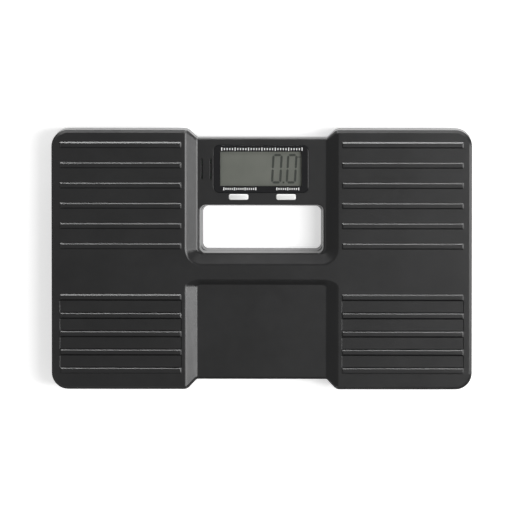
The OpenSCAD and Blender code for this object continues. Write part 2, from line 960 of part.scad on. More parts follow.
top_cover();
base_shell();
display_lens();
lcd_glass();
lcd_frame();
lcd_connector_strips();
main_board();
controller_chip();
buzzer();
button_cap(button_x[0]);  // unit_button
button_cap(button_x[1]);  // power_button
switch_body(button_x[0]);  // unit_switch
switch_body(button_x[1]);  // power_switch
switch_plunger(button_x[0]);  // unit_switch_plunger
switch_plunger(button_x[1]);  // power_switch_plunger
load_cell(rear_left);  // rear_left_load_cell
load_cell(rear_right);  // rear_right_load_cell
load_cell(front_left);  // front_left_load_cell
load_cell(front_right);  // front_right_load_cell
strain_gauges();
load_cell_screws();
foot(rear_left);  // rear_left_foot
foot(rear_right);  // rear_right_foot
foot(front_left);  // front_left_foot
foot(front_right);  // front_right_foot
foot_pad(rear_left);  // rear_left_foot_pad
foot_pad(rear_right);  // rear_right_foot_pad
foot_pad(front_left);  // front_left_foot_pad
foot_pad(front_right);  // front_right_foot_pad
sensor_lead(rear_left);  // rear_left_lead
sensor_lead(rear_right);  // rear_right_lead
sensor_lead(front_left);  // front_left_lead
sensor_lead(front_right);  // front_right_lead
battery_door();
battery(-1);  // left_battery
battery(1);  // right_battery
battery_springs();
battery_plates();
battery_lead();
board_screws();
case_screws();
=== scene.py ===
import math

import bmesh
import bpy
import numpy as np
from mathutils import Matrix, Vector, geometry


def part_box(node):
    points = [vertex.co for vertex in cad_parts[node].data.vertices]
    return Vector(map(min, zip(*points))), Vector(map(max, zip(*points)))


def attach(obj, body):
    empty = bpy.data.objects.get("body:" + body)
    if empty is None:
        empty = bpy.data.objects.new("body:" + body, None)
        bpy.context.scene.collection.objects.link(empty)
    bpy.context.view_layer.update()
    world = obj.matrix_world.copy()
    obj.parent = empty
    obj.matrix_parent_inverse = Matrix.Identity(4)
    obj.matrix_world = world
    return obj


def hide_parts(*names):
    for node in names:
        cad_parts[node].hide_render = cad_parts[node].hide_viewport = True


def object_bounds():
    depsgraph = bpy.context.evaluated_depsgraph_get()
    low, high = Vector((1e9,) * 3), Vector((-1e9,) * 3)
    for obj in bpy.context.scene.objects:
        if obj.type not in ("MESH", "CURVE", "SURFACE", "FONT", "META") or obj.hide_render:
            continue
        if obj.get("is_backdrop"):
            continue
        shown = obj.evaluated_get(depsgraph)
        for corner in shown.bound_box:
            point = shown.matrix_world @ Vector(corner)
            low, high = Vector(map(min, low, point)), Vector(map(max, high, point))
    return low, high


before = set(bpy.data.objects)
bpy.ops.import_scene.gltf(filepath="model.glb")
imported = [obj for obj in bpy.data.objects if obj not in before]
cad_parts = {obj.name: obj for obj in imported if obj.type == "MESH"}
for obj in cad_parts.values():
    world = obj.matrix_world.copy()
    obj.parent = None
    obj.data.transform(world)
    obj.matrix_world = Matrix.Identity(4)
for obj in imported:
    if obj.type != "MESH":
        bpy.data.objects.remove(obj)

cad_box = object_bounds()
MM = 0.001

# ---- Top cover ----
# The top cover is the shell that is stood on: one injection moulding in black ABS with a fine
# spark-eroded grain. Its pads carry moulded grip ribs, and the display and the carrying hole sit in
# a sunken well. Every moulded edge is eased, the well rims and the outer edge the most.


class Field:
    """A number or colour that varies over a surface: it wraps a socket, and operators add nodes."""

    def __init__(self, tree, socket=None):
        self.tree = tree
        self.socket = socket

    def node(self, kind, settings=None, sockets=None, output=0):
        """Adds any node: its settings first, then the values or links of its sockets."""
        made = self.tree.nodes.new(kind)
        for name, setting in (settings or {}).items():
            setattr(made, name, setting)
        for key, value in (sockets or {}).items():
            if isinstance(value, Field):
                self.tree.links.new(value.socket, made.inputs[key])
            else:
                made.inputs[key].default_value = value
        return Field(self.tree, made.outputs[output])

    def math(self, operation, *others):
        """A Math node on this number, and on others where the operation takes them."""
        return self.node("ShaderNodeMath", {"operation": operation}, dict(enumerate((self, *others))))

    def __add__(self, other):
        return self.math("ADD", other)

    __radd__ = __add__

    def __sub__(self, other):
        return self.math("SUBTRACT", other)

    def __rsub__(self, other):
        return self.node("ShaderNodeMath", {"operation": "SUBTRACT"}, {0: other, 1: self})

    def __mul__(self, other):
        return self.math("MULTIPLY", other)

    __rmul__ = __mul__

    def __truediv__(self, other):
        return self.math("DIVIDE", other)

    def __pow__(self, other):
        return self.math("POWER", other)

    def __abs__(self):
        return self.math("ABSOLUTE")

    def between(self, low, high):
        """Rises smoothly from 0 at low to 1 at high."""
        return self.node(
            "ShaderNodeMapRange", {"interpolation_type": "SMOOTHSTEP"},
            {"Value": self, "From Min": low, "From Max": high})

    def noise(self, size, detail=2.0):
        """Noise at this position, with lumps of about the given size in metres."""
        return self.node(
            "ShaderNodeTexNoise", None, {"Vector": self, "Scale": 1 / size, "Detail": detail})

    def axis(self, name):
        """One coordinate of this position."""
        return self.node("ShaderNodeSeparateXYZ", None, {0: self}, "XYZ".index(name))

    def stripes(self, width):
        """Rises from 0 to 1 over one width of this coordinate, and falls again over the next."""
        return self.math("PINGPONG", width) * (1 / width)

    def colours(self, low, high):
        """A colour that goes from low to high as this number goes from 0 to 1."""
        low, high = (end if isinstance(end, Field) else (*end, 1) for end in (low, high))
        return self.node("ShaderNodeMix", {"data_type": "RGBA"}, {0: self, 6: low, 7: high}, 2)


def new_material(name, **constants):
    """A material with the given fixed shader values; returns it, its shader and its positions."""
    material = bpy.data.materials.new(name)
    material.use_nodes = True
    shader = material.node_tree.nodes["Principled BSDF"]
    for socket, value in constants.items():
        shader.inputs[socket.replace("_", " ")].default_value = value
    tree = Field(material.node_tree)
    place = tree.node("ShaderNodeTexCoord", None, None, 3)
    return material, shader, place


def feed(shader, socket, field):
    shader.id_data.links.new(field.socket, shader.inputs[socket])


def relief(shader, height, depth, ease=0):
    """Raises the surface by height, from 0 to 1, times depth in metres, and rounds its edges."""
    sockets = {"Height": height, "Distance": depth}
    if ease:
        sockets["Normal"] = height.node("ShaderNodeBevel", {"samples": 6}, {"Radius": ease})
    feed(shader, "Normal", height.node("ShaderNodeBump", None, sockets))


def moulded_plastic(name, dark, light, rough, ease=0, grain=0.4 * MM, grain_depth=0.012 * MM):
    """Injection moulded ABS: eroded grain, faint flow marks, and a worn shine that comes and goes."""
    material, shader, place = new_material(name, Specular_IOR_Level=0.5)
    grit = place.noise(grain, 3)
    flow = place.noise(38 * MM, 3)
    rub = place.noise(7 * MM, 5)
    feed(shader, "Base Color", (flow * 0.7 + grit * 0.3).between(0.35, 0.65).colours(dark, light))
    feed(shader, "Roughness", rough - 0.05 + flow * 0.06 + rub * 0.06)
    relief(shader, grit, grain_depth, ease)
    return material


def finish_node(name, material):
    """Gives a CAD node that keeps its own shape the finish of the real piece."""
    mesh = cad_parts[name].data
    mesh.materials.clear()
    mesh.materials.append(material)


def as_mesh(piece):
    """Applies a piece's modifiers and returns it as a plain mesh object."""
    bpy.context.view_layer.update()
    shaped = piece.evaluated_get(bpy.context.evaluated_depsgraph_get())
    mesh = bpy.data.meshes.new_from_object(shaped)
    piece.modifiers.clear()
    piece.data = mesh
    return piece


def add_piece(name, mesh, material):
    piece = bpy.data.objects.new(name, mesh)
    bpy.context.scene.collection.objects.link(piece)
    mesh.materials.clear()
    mesh.materials.append(material)
    return piece


def eased_copy(node, name, material, ease, steps=3):
    """A copy of a CAD node with rounded edges: ease(middle, high, low) gives an edge's width.

    middle is the edge's middle in millimetres; high and low are the upward slopes of its faces.
    """
    merge_within = 0.002 * MM
    flat_within = math.radians(0.5)
    sharp_above = math.radians(24)
    widest = 2 * MM
    form = bmesh.new()
    form.from_mesh(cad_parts[node].data)
    bmesh.ops.remove_doubles(form, verts=form.verts, dist=merge_within)
    bmesh.ops.dissolve_limit(
        form, angle_limit=flat_within, verts=form.verts, edges=form.edges, delimit={"NORMAL"})
    weight = form.edges.layers.float.new("bevel_weight_edge")
    for edge in form.edges:
        if edge.is_manifold and edge.calc_face_angle() > sharp_above:
            slopes = sorted(face.normal.z for face in edge.link_faces)
            middle = (edge.verts[0].co + edge.verts[1].co) / (2 * MM)
            edge[weight] = ease(middle, slopes[1], slopes[0]) * MM / widest
    for face in form.faces:
        face.smooth = True
    mesh = bpy.data.meshes.new(name)
    form.to_mesh(mesh)
    form.free()
    piece = add_piece(name, mesh, material)
    bevel = piece.modifiers.new("Eased edges", "BEVEL")
    bevel.limit_method = "WEIGHT"
    bevel.width = widest
    bevel.segments = steps
    bevel.use_clamp_overlap = False
    bevel.harden_normals = True
    return as_mesh(piece)


# The cover's sizes are in millimetres, until its mesh is scaled to metres at the end.
SEAM_Z = 16
SEAM_EASE = 0.3
WALL = 2.5
CASE_R = 13
NOTCH_SLOPE = 7.5
NOTCH_OUTER_R = 6
NOTCH_INNER_R = 2
REAR_NOTCH = 6.9
FRONT_NOTCH = 7.8
WELL_HALF = 51
WELL_SLOPE = 8.6
WELL_FLOOR_R = 4
LAND_W = 11.8
FRONT_WELL_DEPTH = 4
FRONT_END_SLOPE = 4
HOLE_W = 97
HOLE_L = 37.7
HOLE_R = 4.5
HOLE_X = -0.2
HOLE_TO_WELL_END = 0.4
HOLE_TO_DISPLAY = 47.2
HOLE_DRAFT = 1.07
HOLE_EASE = 0.9
SEAT_DEPTH = 1.5
SEAT_LEDGE = 4.15
SEAT_GAP = 0.1
SEAT_R = 4.6
SEAT_EASE = 0.35
WINDOW_PROUD = 0.1
KEY_SLOT_W = 15.9
KEY_SLOT_L = 5
KEY_SLOT_R = 1.7
KEY_SLOT_EASE = 0.25
SOUND_SLOTS_X = (-47, -40.1)
SOUND_SLOT_W = 1.1
SOUND_SLOT_L = 16
SOUND_SLOT_R = 0.54
SOUND_SLOT_EASE = 0.2
RIB_H = 1
RIB_W = 4.9
RIB_R = 0.5
REAR_PITCH = 15.9
FRONT_PITCH = 14.4
cover_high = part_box("top_cover")[1]
half_w = cover_high.x / MM
half_l = cover_high.y / MM
pad_z = cover_high.z / MM - RIB_H
lens_low, lens_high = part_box("display_lens")
window_middle = (lens_low + lens_high) / 2
display_x, display_y = (window_middle / MM).xy
window_w, window_l = ((lens_high - lens_low) / MM).xy
well_z = lens_high.z / MM - WINDOW_PROUD
hole_y = display_y - HOLE_TO_DISPLAY


class Well:
    """A sunken area that runs out over one long edge, with sloping sides."""

    def __init__(self, end_y, towards, depth, end_slope):
        self.end_y = end_y
        self.towards = towards
        self.depth = depth
        self.slopes = (WELL_SLOPE, end_slope)
        self.round = WELL_FLOOR_R / WELL_SLOPE

    def climb(self, x, y):
        """How far up its slope a point is: 0 at the foot and 1 at the rim."""
        across = (np.abs(x) - WELL_HALF) / self.slopes[0] + self.round
        along = (y - self.end_y) * self.towards / self.slopes[1] + self.round
        corner = np.hypot(np.maximum(across, 0), np.maximum(along, 0))
        return corner + np.minimum(np.maximum(across, along), 0) - self.round

    def contour(self, climb, steps=10):
        """Line along the slope at one climb, from beyond the long edge and back to it."""
        reach = climb + self.round
        turns = np.linspace(0, math.pi / 2, steps)
        x = WELL_HALF + (reach * np.cos(turns) - self.round) * self.slopes[0]
        y = self.end_y + (reach * np.sin(turns) - self.round) * self.slopes[1] * self.towards
        past_edge = 5
        outside = -self.towards * (half_l + past_edge)
        right = [(x[0], outside), *zip(x, y)]
        return right + [(-px, py) for px, py in reversed(right)]


class Opening:
    """A rounded rectangle that is cut through the well floor, with an eased rim."""

    def __init__(self, x, y, w, l, r, ease=0, steps=((0, well_z - WALL),)):
        self.x, self.y, self.half, self.r = x, y, (w / 2, l / 2), r
        self.ease = ease
        self.steps = steps

    def distance(self, x, y):
        """Distance of points outside it, negative for points inside it."""
        across = np.abs(x - self.x) - self.half[0] + self.r
        along = np.abs(y - self.y) - self.half[1] + self.r
        corner = np.hypot(np.maximum(across, 0), np.maximum(along, 0))
        return corner + np.minimum(np.maximum(across, along), 0) - self.r

    def contour(self, grow, steps=6):
        """Closed line round it, at a distance outside it."""
        line = []
        sharpest = 0.02
        r = max(self.r + grow, sharpest)
        half_x, half_y = (half + grow - r for half in self.half)
        for quarter in range(4):
            turns = np.linspace(quarter, quarter + 1, steps) * math.pi / 2
            side = (1 if quarter in (0, 3) else -1, 1 if quarter in (0, 1) else -1)
            x = self.x + side[0] * half_x + r * np.cos(turns)
            y = self.y + side[1] * half_y + r * np.sin(turns)
            line += zip(x, y)
        return line


display_well = Well(hole_y - HOLE_L / 2 - HOLE_TO_WELL_END, -1, pad_z - well_z, WELL_SLOPE)
front_well_y = display_well.end_y - WELL_SLOPE - LAND_W - FRONT_END_SLOPE
wells = (display_well, Well(front_well_y, 1, FRONT_WELL_DEPTH, FRONT_END_SLOPE))
carrying_hole = Opening(HOLE_X, hole_y, HOLE_W, HOLE_L, HOLE_R, HOLE_EASE, (
    (-HOLE_DRAFT, SEAM_Z + SEAM_EASE), (SEAM_EASE - HOLE_DRAFT, SEAM_Z), (WALL, SEAM_Z), (WALL, None)))
seat_z = well_z - SEAT_DEPTH
lens_seat = Opening(
    display_x, display_y, window_w + 2 * SEAT_GAP, window_l + 2 * SEAT_GAP, SEAT_R, SEAT_EASE,
    ((0, seat_z), (-SEAT_LEDGE, seat_z), (-SEAT_LEDGE, well_z - WALL)))
openings = [carrying_hole, lens_seat]
for body in ("unit_button", "power_button"):
    low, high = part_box(body)
    key = (low + high) / (2 * MM)
    openings.append(Opening(key.x, key.y, KEY_SLOT_W, KEY_SLOT_L, KEY_SLOT_R, KEY_SLOT_EASE))
for x in SOUND_SLOTS_X:
    openings.append(Opening(x, display_y, SOUND_SLOT_W, SOUND_SLOT_L, SOUND_SLOT_R, SOUND_SLOT_EASE))

RIB_SPAN = (63, half_w - 6.5)
rib_middle = sum(RIB_SPAN) / 2
rib_length = RIB_SPAN[1] - RIB_SPAN[0]
POCKET_DEPTH = 0.6
REAR_RIBS = {"count": 6, "pitch": REAR_PITCH, "top": half_l - 9.4}
FRONT_RIBS = {"count": 5, "pitch": FRONT_PITCH, "top": -half_l + 12.3 + 4 * FRONT_PITCH + RIB_W}
ribs = []
pockets = []
for side in (-1, 1):
    for row in (REAR_RIBS, FRONT_RIBS):
        for i in range(row["count"]):
            y = row["top"] - i * row["pitch"] - RIB_W / 2
            ribs.append(Opening(side * rib_middle, y, rib_length, RIB_W, RIB_R))
            if row is FRONT_RIBS and i > 0:
                gap = row["pitch"] - RIB_W
                middle_y = y + row["pitch"] / 2
                pockets.append(Opening(side * rib_middle, middle_y, rib_length, gap, RIB_R))
RIB_FROM_EDGE = (-1.15, -1, 0, 0.1)
RIB_RISE = (1, 0.97, 0.02, 0)
POCKET_FROM_EDGE = (-0.3, 0, 0.3)
POCKET_FALL = (1, 0.5, 0)
FOOT_EASE = 0.1
RIM_EASE = 0.12
PAD_EDGE = 2.2
WELL_EDGE = 0.9
BEVEL_SLOPE = 0.78


def rounded(value, width):
    """The positive part of value, with a smooth start that is width wide on each side of 0."""
    return np.where(value > width, value, np.maximum(value + width, 0) ** 2 / (4 * width))


def quarter_round(distance, radius):
    """How far an eased edge has dropped at a distance inside it."""
    left = np.clip(radius - distance, 0, radius)
    return radius - np.sqrt(np.maximum(radius ** 2 - left ** 2, 0))


def plan_outline(inset, steps=10):
    """Outline of the case: a rounded rectangle with a notch in each long edge."""
    notch = WELL_HALF + NOTCH_SLOPE
    rear = [(half_w, half_l, CASE_R), (notch, half_l, NOTCH_OUTER_R),
            (WELL_HALF, half_l - REAR_NOTCH, NOTCH_INNER_R)]
    front = [(half_w, -half_l, CASE_R), (notch, -half_l, NOTCH_OUTER_R),
             (WELL_HALF, -half_l + FRONT_NOTCH, NOTCH_INNER_R)]
    left_rear = [(-x, y, r) for x, y, r in reversed(rear)]
    left_front = [(-x, y, r) for x, y, r in front]
    corners = rear + left_rear + left_front + front[::-1]
    line = []
    for i, (x, y, r) in enumerate(corners):
        at = Vector((x, y))
        before = (Vector(corners[i - 1][:2]) - at).normalized()
        after = (Vector(corners[(i + 1) % len(corners)][:2]) - at).normalized()
        half = before.angle(after) / 2
        middle = at + (before + after).normalized() * r / math.sin(half)
        bends_in = before.x * after.y - before.y * after.x > 0
        reach = r + inset if bends_in else r - inset
        first = (at + before * r / math.tan(half) - middle).normalized()
        sweep = (math.pi - 2 * half) * (-1 if bends_in else 1)
        for step in range(steps + 1):
            turned = first.copy()
            turned.rotate(Matrix.Rotation(sweep * step / steps, 2))
            line.append(tuple(middle + turned * reach))
    return line


def plan_distance(x, y, outline=plan_outline(0)):
    """Shortest distance of points from the outline of the case."""
    nearest = np.full(x.shape, np.inf)
    for (ax, ay), (bx, by) in zip(outline, outline[1:] + outline[:1]):
        run = np.hypot(bx - ax, by - ay)
        if run > 0:
            along = np.clip(((x - ax) * (bx - ax) + (y - ay) * (by - ay)) / run ** 2, 0, 1)
            off_x, off_y = x - ax - along * (bx - ax), y - ay - along * (by - ay)
            nearest = np.minimum(nearest, np.hypot(off_x, off_y))
    return nearest


def form_height(x, y):
    """Height of the cover without its ribs and eased edges."""
    z = np.full(x.shape, float(pad_z))
    for well in wells:
        climb = well.climb(x, y)
        z -= well.depth * (1 - rounded(climb, FOOT_EASE) + rounded(climb - 1, RIM_EASE))
    return z


def top_height(x, y):
    """Height of the cover's upper face."""
    form = form_height(x, y)
    z = form.copy()
    for rib in ribs:
        z += RIB_H * np.interp(rib.distance(x, y), RIB_FROM_EDGE, RIB_RISE)
    for pocket in pockets:
        z -= POCKET_DEPTH * np.interp(pocket.distance(x, y), POCKET_FROM_EDGE, POCKET_FALL)
    sunk = np.clip((pad_z - form) / (pad_z - well_z), 0, 1)
    bevel = PAD_EDGE + (WELL_EDGE - PAD_EDGE) * sunk
    z -= BEVEL_SLOPE * np.clip(bevel - plan_distance(x, y), 0, bevel)
    for opening in openings:
        z -= quarter_round(opening.distance(x, y), opening.ease)
    return z


def inside_line(x, y, line):
    """Which points lie inside a closed line."""
    inside = np.zeros(x.shape, bool)
    for (ax, ay), (bx, by) in zip(line, line[1:] + line[:1]):
        if ay != by:
            inside ^= ((ay > y) != (by > y)) & (x < ax + (y - ay) * (bx - ax) / (by - ay))
    return inside


def between_lines(x, y, lines):
    """Which points lie inside the outer line and outside the openings."""
    return sum(inside_line(x, y, line).astype(int) for line in lines) == 1


def add_faces(form, x, y, z, faces, keep, turned=False):
    """Adds the triangles whose middles pass the test, with their outsides up, or down if turned."""
    corners = np.array(faces)
    kept = corners[keep(x[corners].mean(axis=1), y[corners].mean(axis=1))]
    verts = {i: form.verts.new((x[i], y[i], z[i])) for i in np.unique(kept)}
    for face in kept:
        form.faces.new([verts[i] for i in (reversed(face) if turned else face)])


def open_loops(form):
    """The open edges as closed loops of vertices, each with the surface on its left."""
    after = {edge.link_loops[0].vert: edge.link_loops[0].link_loop_next.vert
             for edge in form.edges if edge.is_boundary}
    loops = []
    while after:
        loop = [next(iter(after))]
        while loop[-1] in after:
            loop.append(after.pop(loop[-1]))
        loops.append(loop[:-1])
    return loops


def moved_in(loop, amount, least=0.3):
    """Plan positions of a loop, moved into the surface by an amount; least limits sharp corners."""
    places = []
    for i, vert in enumerate(loop):
        before = (vert.co.xy - loop[i - 1].co.xy).normalized()
        after = (loop[(i + 1) % len(loop)].co.xy - vert.co.xy).normalized()
        left = Vector((-before.y - after.y, before.x + after.x)).normalized()
        places.append(vert.co.xy + left * amount / max(left.dot(Vector((-after.y, after.x))), least))
    return places


def add_walls(form, loop):
    """Walls down from one open loop, and back up where they are hollow; returns the last ring."""
    middle = sum((vert.co.xy for vert in loop), Vector((0, 0))) / len(loop)
    opening = min(openings, key=lambda item: math.dist(middle, (item.x, item.y)))
    if max(vert.co.x for vert in loop) > half_w - WALL:
        steps = [(0, SEAM_Z + SEAM_EASE), (SEAM_EASE, SEAM_Z), (WALL, SEAM_Z), (WALL, None)]
    else:
        steps = opening.steps
    ring = loop
    for amount, z in steps:
        places = moved_in(loop, amount)
        if z is None:
            z = form_height(*np.array([tuple(place) for place in places]).T) - WALL
        lower = [form.verts.new((*place, height)) for place, height in zip(
            places, np.broadcast_to(z, len(places)))]
        for i in range(len(loop)):
            form.faces.new((ring[i], ring[i - 1], lower[i - 1], lower[i]))
        ring = lower
    return ring


SAME_POINT = 1e-4


def add_underside(form, rings, spacing=8):
    """Hidden underside of the shell, a wall thickness below its top, between the last rings."""
    margin = WALL + 1
    points, edges = [], []
    for ring in rings:
        first = len(points)
        points += [vert.co.xy for vert in ring]
        edges += [(i, i + 1) for i in range(first, len(points) - 1)] + [(len(points) - 1, first)]
    lines = [[tuple(vert.co.xy) for vert in ring] for ring in rings]
    grid = np.mgrid[-half_w:half_w:spacing, -half_l:half_l:spacing].reshape(2, -1)
    clear = between_lines(*grid, lines) & (plan_distance(*grid) > margin)
    for opening in openings:
        clear &= opening.distance(*grid) > margin
    points += [Vector(place) for place in grid[:, clear].T]
    flat, _, faces, *_ = geometry.delaunay_2d_cdt(points, edges, [], 0, SAME_POINT)
    x, y = np.array([tuple(point) for point in flat]).T
    z = form_height(x, y) - WALL
    add_faces(form, x, y, z, faces, lambda *at: between_lines(*at, lines), turned=True)


def shell_mesh(name):
    """The cover as a closed shell: its top follows top_height, with a mesh line along every edge."""
    lines = []
    for inset in (0, WELL_EDGE / 2, WELL_EDGE, PAD_EDGE):
        lines.append((plan_outline(inset), True))
    for turn in np.linspace(0, math.pi / 2, 6):
        for opening in openings:
            lines.append((opening.contour(opening.ease * (1 - math.cos(turn))), True))
    for well in wells:
        for ease, rim in ((FOOT_EASE, 0), (RIM_EASE, 1)):
            for part in np.linspace(-1, 1, 7):
                lines.append((well.contour(rim + part * ease), False))
    for rib in ribs:
        lines += [(rib.contour(from_edge, 3), True) for from_edge in RIB_FROM_EDGE]
    for pocket in pockets:
        lines += [(pocket.contour(from_edge, 3), True) for from_edge in POCKET_FROM_EDGE]

    points, edges = [], []
    for line, closed in lines:
        first = len(points)
        points += [Vector(point) for point in line]
        edges += [(i, i + 1) for i in range(first, len(points) - 1)]
        if closed:
            edges.append((len(points) - 1, first))
    flat, _, faces, *_ = geometry.delaunay_2d_cdt(points, edges, [], 0, SAME_POINT)
    x, y = np.array([tuple(point) for point in flat]).T
    form = bmesh.new()
    edges_of_top = [plan_outline(0)] + [opening.contour(0) for opening in openings]
    add_faces(form, x, y, top_height(x, y), faces, lambda *at: between_lines(*at, edges_of_top))
    merge_within = 0.03
    bmesh.ops.remove_doubles(form, verts=form.verts, dist=merge_within)
    rings = [add_walls(form, loop) for loop in open_loops(form)]
    add_underside(form, rings)
    bmesh.ops.remove_doubles(form, verts=form.verts, dist=5 * SAME_POINT)
    gaps = [edge for edge in form.edges if edge.is_boundary]
    bmesh.ops.holes_fill(form, edges=gaps, sides=3)
    bmesh.ops.scale(form, vec=(MM, MM, MM), verts=form.verts)
    for face in form.faces:
        face.smooth = True
    mesh = bpy.data.meshes.new(name)
    form.to_mesh(mesh)
    form.free()
    return mesh


def weighted_normals(piece, sharp_above):
    """Lets large faces set the shading of small ones beside them; edges sharp above a degree stay."""
    piece.data.set_sharp_from_angle(angle=math.radians(sharp_above))
    even = piece.modifiers.new("Even shading", "WEIGHTED_NORMAL")
    even.keep_sharp = True
    return as_mesh(piece)


BLACK_DARK = (0.0055, 0.0055, 0.0058)
BLACK_LIGHT = (0.0075, 0.0075, 0.0079)
BLACK_ROUGH = 0.29
black_abs = moulded_plastic("black_abs", BLACK_DARK, BLACK_LIGHT, BLACK_ROUGH)
cover = add_piece("ribbed_top_cover", shell_mesh("ribbed_top_cover"), black_abs)
weighted_normals(cover, 30)
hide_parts("top_cover")
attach(cover, "housing")

# ---- Base shell ----
# The base shell closes the case from below, in the same black ABS as the cover. The seam where the
# two meet shows as a fine line round the sides and inside the carrying hole.

finish_node("base_shell", moulded_plastic(
    "eased_black_abs", BLACK_DARK, BLACK_LIGHT, BLACK_ROUGH, 0.9 * MM))

# ---- Display window ----
# The window is a clear acrylic plate, bonded into a seat in the well floor. Its back is screen
# printed in gloss black all round the view, and white graduation marks are printed on the black.

view_size = Vector((64, 27.1)) * MM
PRINT_EDGE = 0.1 * MM


def window_plastic():
    material, shader, place = new_material("display_window", Roughness=0.06, IOR=1.49)
    from_x = abs(place.axis("X") - window_middle.x)
    from_y = abs(place.axis("Y") - window_middle.y)
    past_x = from_x.between(view_size.x / 2, view_size.x / 2 + PRINT_EDGE)
    past_y = from_y.between(view_size.y / 2, view_size.y / 2 + PRINT_EDGE)
    print_mask = past_x.math("MAXIMUM", past_y)
    clear_alpha = 0.08
    feed(shader, "Alpha", clear_alpha + print_mask * (1 - clear_alpha))
    feed(shader, "Base Color", place.noise(9 * MM).colours((0.004, 0.004, 0.005), (0.007, 0.007, 0.008)))
    return material


def window_ease(middle, high, low):
    return 0.35 if high > 0.9 else 0


window = eased_copy("display_lens", "display_window", window_plastic(), window_ease)
weighted_normals(window, 30)
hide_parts("display_lens")
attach(window, "housing")


def socket_of(tree, name):
    """The identifier of a modifier input, from the name that the tree gives it."""
    return next(item.identifier for item in tree.interface.items_tree if item.name == name)


def new_tree(name, **inputs):
    """A node tree with named inputs: returns it, the inputs, and the method that adds its nodes."""
    tree = bpy.data.node_groups.new(name, "GeometryNodeTree")
    tree.interface.new_socket("Shape", in_out="OUTPUT", socket_type="NodeSocketGeometry")
    for kind, names in inputs.items():
        for item in names:
            tree.interface.new_socket(item, in_out="INPUT", socket_type="NodeSocket" + kind)
    sockets = tree.nodes.new("NodeGroupInput").outputs
    return tree, {item.name: Field(tree, item) for item in sockets if item.name}, Field(tree).node


def finish_tree(tree, parts, material):
    """Joins the parts, makes every instance real and sets the material."""
    build = Field(tree).node
    joined = tree.nodes.new("GeometryNodeJoinGeometry")
    for part in parts:
        tree.links.new(part.socket, joined.inputs[0])
    real = build("GeometryNodeRealizeInstances", None, {0: Field(tree, joined.outputs[0])})
    painted = build("GeometryNodeSetMaterial", None, {"Geometry": real, "Material": material})
    tree.links.new(painted.socket, tree.nodes.new("NodeGroupOutput").inputs[0])
    return tree


def bar_row_tree(material):
    """Nodes for a row of printed bars, in which every fifth bar is longer."""
    tree, given, build = new_tree(
        "printed_bars", Int=("Count",), Float=("Pitch", "Long share"), Vector=("Start", "Bar"))
    step = build("ShaderNodeCombineXYZ", None, {0: given["Pitch"]})
    line = build("GeometryNodeMeshLine", None, {
        "Count": given["Count"], "Start Location": given["Start"], "Offset": step})
    bar = build("GeometryNodeMeshCube", None, {"Size": given["Bar"]})
    fifth = build("GeometryNodeInputIndex").math("MODULO", 5).math("LESS_THAN", 0.5)
    size = build("ShaderNodeCombineXYZ", None, {0: 1, 1: fifth * given["Long share"] + 1, 2: 1})
    placed = build("GeometryNodeInstanceOnPoints", None, {"Points": line, "Instance": bar, "Scale": size})
    return finish_tree(tree, [placed], material)


def node_piece(name, tree, values, material, mesh=None):
    """A plain mesh piece from a node tree, with the given values in its named inputs."""
    piece = add_piece(name, mesh or bpy.data.meshes.new(name), material)
    nodes = piece.modifiers.new("Shape", "NODES")
    nodes.node_group = tree
    for key, value in values.items():
        nodes[socket_of(tree, key)] = value
    as_mesh(piece)
    piece.data.name = name
    return piece


def printing_ink(name, dark, light):
    """Screen printing ink: an almost even coat with a slightly rough, mottled surface."""
    material, shader, place = new_material(name)
    film = place.noise(0.5 * MM, 3)
    feed(shader, "Base Color", film.colours(dark, light))
    feed(shader, "Roughness", 0.42 + film * 0.16)
    return material


white_ink = printing_ink("white_ink", (0.78, 0.78, 0.77), (0.88, 0.88, 0.87))
bar_rows = bar_row_tree(white_ink)
INK_T = 0.03 * MM
UPPER_BAR = {"bar": (0.75, 1.7), "from_view": 15.6}
LOWER_BAR = {"bar": (0.8, 1.5), "from_view": -15.7}
MARK_ROWS = {
    "upper_marks": {"from_x": -31.4, "to_x": 31.6, "count": 31, **UPPER_BAR},
    "lower_left_marks": {"from_x": -29.8, "to_x": -4.7, "count": 16, **LOWER_BAR},
    "lower_right_marks": {"from_x": 11.8, "to_x": 29, "count": 11, **LOWER_BAR},
}
for name, row in MARK_ROWS.items():
    marks = node_piece(name, bar_rows, {
        "Count": row["count"],
        "Pitch": (row["to_x"] - row["from_x"]) * MM / (row["count"] - 1),
        "Start": (row["from_x"] * MM, window_middle.y + row["from_view"] * MM, lens_high.z + INK_T / 2),
        "Bar": (row["bar"][0] * MM, row["bar"][1] * MM, INK_T),
        "Long share": 0.45,
    }, white_ink)
    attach(marks, "housing")

# ---- Liquid crystal display ----
# The display is a grey reflective twisted-nematic glass under the window. Its driven segments turn
# dark and stand just in front of the reflector, so they read as slanted digits with mitred ends.

glass_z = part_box("lcd_glass")[1].z


def reflector_grey():
    material, shader, place = new_material("lcd_glass", Specular_IOR_Level=0.3)
    cloud = place.noise(22 * MM, 2)
    speckle = place.noise(0.25 * MM, 2)
    # Painted shade: the reflector's grey is darkened near the two long edges of the view (along Y),
    # standing in for the shadow of the window's printed border.
    edge = (place.axis("Y") - window_middle.y).between(view_size.y * 0.36, view_size.y * 0.5)
    tone = (cloud * 0.6 + speckle * 0.4).between(0.3, 0.7)
    feed(shader, "Base Color", (tone - edge * 0.5).colours((0.17, 0.18, 0.155), (0.215, 0.225, 0.195)))
    feed(shader, "Roughness", 0.34 + speckle * 0.1)
    return material


finish_node("lcd_glass", reflector_grey())

DIGIT_H = 21.5
DIGIT_W = 6.4
STROKE = 1.75
SLANT = 0.055
SEGMENT_GAP = 0.28
SEGMENT_T = 0.03 * MM


def segment_outline(start, end):
    """Six corners of a segment between two points, with mitred ends, in digit millimetres."""
    along = (end - start).normalized()
    across = Vector((-along.y, along.x)) * STROKE / 2
    start = start + along * SEGMENT_GAP
    end = end - along * SEGMENT_GAP
    inset = along * STROKE / 2
    return [start, start + inset + across, end - inset + across, end, end - inset - across,
            start + inset - across]


